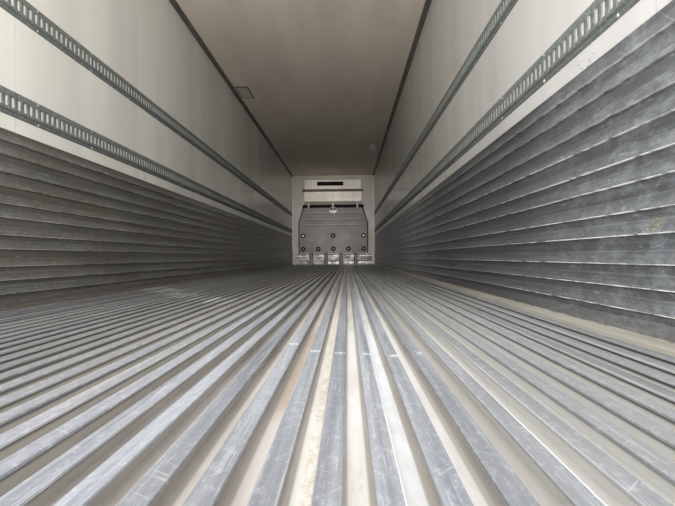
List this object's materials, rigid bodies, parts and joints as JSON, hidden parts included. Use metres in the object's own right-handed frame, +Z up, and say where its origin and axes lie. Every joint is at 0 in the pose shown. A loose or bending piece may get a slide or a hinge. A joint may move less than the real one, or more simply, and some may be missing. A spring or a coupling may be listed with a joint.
{
  "type": "refrigerated semi trailer load box",
  "caption": "Insulated load box of a refrigerated semi trailer, off its running gear, with ribbed aluminium floor, cargo tracks, nose unit and rear swing doors.",
  "frame": {"origin": "middle of the overall box, on the plane that the base rails stand on", "axes": "+Y forward to the nose unit along the box, +X to the right looking forward, +Z up"},
  "size_m": [2.847, 16.673, 2.942],
  "materials": {
    "deck_aluminium": "worn extruded aluminium",
    "foam_core": "foamed panel edge",
    "crossmember_steel": "black chassis paint",
    "rail_aluminium": "mill finish extrusion",
    "white_skin": "white glass fibre liner and painted skin",
    "scuff_aluminium": "dull scuffed aluminium",
    "galvanised_steel": "galvanised",
    "cove_plastic": "dark moulded strip",
    "lamp_lens": "moulded lens",
    "bulkhead_plastic": "grey moulded polyethylene",
    "fitting_plastic": "white moulded fittings",
    "post_plastic": "grey moulded post",
    "kick_aluminium": "bright plate",
    "evaporator_plastic": "off white moulded cover",
    "unit_plastic": "white moulded cover",
    "grille_plastic": "black grille",
    "frame_steel": "stainless rear frame",
    "bumper_rubber": "black rubber",
    "door_skin": "white painted door",
    "gasket_rubber": "black seal",
    "hardware_steel": "galvanised door hardware"
  },
  "bodies": {
    "load_box": {"base_rail_left": "rail_aluminium", "base_rail_right": "rail_aluminium", "bulkhead": "bulkhead_plastic", "bulkhead_fittings": "fitting_plastic", "bulkhead_posts": "post_plastic", "cargo_track_lower_left": "galvanised_steel", "cargo_track_lower_right": "galvanised_steel", "cargo_track_upper_left": "galvanised_steel", "cargo_track_upper_right": "galvanised_steel", "ceiling_lamps": "lamp_lens", "corner_post_left": "rail_aluminium", "corner_post_right": "rail_aluminium", "coupler_plate": "crossmember_steel", "coves": "cove_plastic", "crossmembers": "crossmember_steel", "dock_bumpers": "bumper_rubber", "evaporator_lower": "evaporator_plastic", "evaporator_upper": "evaporator_plastic", "floor_core": "foam_core", "floor_deck": "deck_aluminium", "front_rails": "rail_aluminium", "front_wall": "white_skin", "hinge_lugs": "hardware_steel", "kick_plate": "kick_aluminium", "lamps": "lamp_lens", "rear_frame": "frame_steel", "rear_sill": "frame_steel", "rod_keepers": "hardware_steel", "roof": "white_skin", "scuff_liner_left": "scuff_aluminium", "scuff_liner_right": "scuff_aluminium", "side_wall_left": "white_skin", "side_wall_right": "white_skin", "top_rail_left": "rail_aluminium", "top_rail_right": "rail_aluminium", "unit_grille": "grille_plastic", "unit_housing": "unit_plastic"},
    "door_left": {"door_gasket_left": "gasket_rubber", "door_guides_left": "hardware_steel", "door_hinges_left": "hardware_steel", "door_panel_left": "door_skin", "door_rods_left": "hardware_steel"},
    "door_right": {"door_gasket_right": "gasket_rubber", "door_guides_right": "hardware_steel", "door_hinges_right": "hardware_steel", "door_panel_right": "door_skin", "door_rods_right": "hardware_steel"}
  },
  "joints": [
    {"name": "door_right_swing", "type": "hinge", "parent": "load_box", "child": "door_right", "pos_m": [1.2835, -8.3225, 1.5255], "axis": [0, 0, 1], "range_deg": [-270, 0]},
    {"name": "door_left_swing", "type": "hinge", "parent": "load_box", "child": "door_left", "pos_m": [-1.2835, -8.3225, 1.5255], "axis": [0, 0, 1], "range_deg": [0, 270]}
  ]
}
